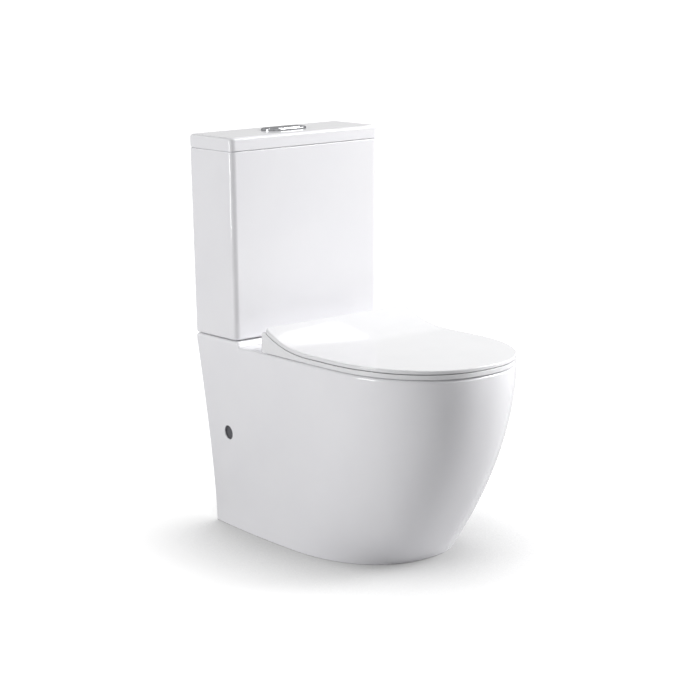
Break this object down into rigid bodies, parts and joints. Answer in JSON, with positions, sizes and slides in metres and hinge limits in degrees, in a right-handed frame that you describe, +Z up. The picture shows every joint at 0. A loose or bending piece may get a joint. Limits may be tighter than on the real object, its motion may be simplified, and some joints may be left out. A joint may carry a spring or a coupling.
{
  "type": "close coupled toilet",
  "caption": "Back to wall close coupled toilet: skirted china pan, cistern with lift-off lid and dual flush button, slim soft close seat and cover.",
  "frame": {"origin": "on the floor, under the middle of the toilet's width and length", "axes": "+Z up, +Y towards the wall behind the cistern, +X to the sitter's left hand side when seated, which is the right side seen from the front"},
  "size_m": [0.384, 0.68, 0.8313],
  "materials": {
    "china": "gloss glaze, white",
    "seat_plastic": "gloss moulded, white",
    "chrome": "polished",
    "valve_plastic": "satin moulded, off white",
    "blue_plastic": "satin moulded, blue",
    "grey_plastic": "satin moulded, dark grey",
    "steel": "satin",
    "brass": "satin",
    "black_rubber": "matt",
    "silicone": "satin, red",
    "foam_rubber": "matt foam",
    "bumper_rubber": "satin, translucent white"
  },
  "bodies": {
    "china_and_valves": {"pan": "china", "side_plug_left": "grey_plastic", "side_plug_right": "grey_plastic", "cistern_tank": "china", "flush_valve_base": "valve_plastic", "flush_valve_tower": "valve_plastic", "flush_valve_washer": "black_rubber", "flush_valve_nut": "valve_plastic", "cistern_gasket": "foam_rubber", "fill_valve_body": "valve_plastic", "fill_valve_pin": "steel", "fill_valve_washer": "black_rubber", "fill_valve_nut": "valve_plastic", "coupling_bolt_left": "brass", "coupling_cone_left": "black_rubber", "coupling_washer_left": "steel", "coupling_wing_nut_left": "brass", "coupling_bolt_right": "brass", "coupling_cone_right": "black_rubber", "coupling_washer_right": "steel", "coupling_wing_nut_right": "brass", "hinge_post_left": "chrome", "hinge_damper_left": "steel", "hinge_rosette_left": "chrome", "hinge_stud_left": "steel", "hinge_bush_left": "black_rubber", "hinge_wing_nut_left": "valve_plastic", "hinge_post_right": "chrome", "hinge_damper_right": "steel", "hinge_rosette_right": "chrome", "hinge_stud_right": "steel", "hinge_bush_right": "black_rubber", "hinge_wing_nut_right": "valve_plastic"},
    "seat_ring": {"seat_ring": "seat_plastic", "ring_bumper_front_left": "bumper_rubber", "ring_bumper_front_right": "bumper_rubber", "ring_bumper_rear_left": "bumper_rubber", "ring_bumper_rear_right": "bumper_rubber"},
    "seat_cover": {"seat_cover": "seat_plastic", "cover_bumper_left": "bumper_rubber", "cover_bumper_right": "bumper_rubber"},
    "cistern_lid": {"cistern_lid": "china", "button_bezel": "chrome", "button_clamp": "valve_plastic", "half_flush_spring": "steel", "full_flush_spring": "steel"},
    "half_flush_key": {"half_flush_button": "chrome", "half_flush_rod": "valve_plastic"},
    "full_flush_key": {"full_flush_button": "chrome", "full_flush_rod": "valve_plastic"},
    "half_plunger": {"half_flush_plunger": "blue_plastic"},
    "full_plunger": {"full_flush_plunger": "blue_plastic"},
    "flush_canister": {"flush_valve_canister": "blue_plastic", "flush_valve_seal": "silicone"},
    "fill_float": {"fill_valve_float": "blue_plastic"},
    "fill_arm": {"fill_valve_arm": "valve_plastic"}
  },
  "joints": [
    {"name": "seat_ring_hinge", "type": "hinge", "parent": "china_and_valves", "child": "seat_ring", "pos_m": [0, 0.108, 0.43], "axis": [-1, 0, 0], "range_deg": [0, 95]},
    {"name": "seat_cover_hinge", "type": "hinge", "parent": "seat_ring", "child": "seat_cover", "pos_m": [0, 0.108, 0.43], "axis": [1, 0, 0], "range_deg": [-100, 0]},
    {"name": "cistern_lid_lift", "type": "slide", "parent": "china_and_valves", "child": "cistern_lid", "axis": [0, 0, 1], "range_m": [0, 0.15]},
    {"name": "half_flush_press", "type": "slide", "parent": "cistern_lid", "child": "half_flush_key", "axis": [0, 0, -1], "range_m": [0, 0.008], "stiffness_N_per_m": 800, "springref_m": -0.004, "deforming": ["half_flush_spring"]},
    {"name": "full_flush_press", "type": "slide", "parent": "cistern_lid", "child": "full_flush_key", "axis": [0, 0, -1], "range_m": [0, 0.008], "stiffness_N_per_m": 800, "springref_m": -0.004, "deforming": ["full_flush_spring"]},
    {"name": "half_plunger_travel", "type": "slide", "parent": "china_and_valves", "child": "half_plunger", "axis": [0, 0, -1], "range_m": [0, 0.008]},
    {"name": "full_plunger_travel", "type": "slide", "parent": "china_and_valves", "child": "full_plunger", "axis": [0, 0, -1], "range_m": [0, 0.008]},
    {"name": "flush_canister_lift", "type": "slide", "parent": "china_and_valves", "child": "flush_canister", "axis": [0, 0, 1], "range_m": [0, 0.014]},
    {"name": "fill_float_rise", "type": "slide", "parent": "china_and_valves", "child": "fill_float", "axis": [0, 0, 1], "range_m": [0, 0.008]},
    {"name": "fill_arm_pivot", "type": "hinge", "parent": "china_and_valves", "child": "fill_arm", "pos_m": [0.138, 0.273, 0.722], "axis": [0, 1, 0], "range_deg": [0, 13.3]}
  ],
  "couplings": [
    {"joint": "half_plunger_travel", "follows": "half_flush_press", "ratio": 1},
    {"joint": "full_plunger_travel", "follows": "full_flush_press", "ratio": 1},
    {"joint": "flush_canister_lift", "follows": "full_flush_press", "ratio": 1.75},
    {"joint": "fill_arm_pivot", "follows": "fill_float_rise", "rad_per_m": 28.885}
  ]
}
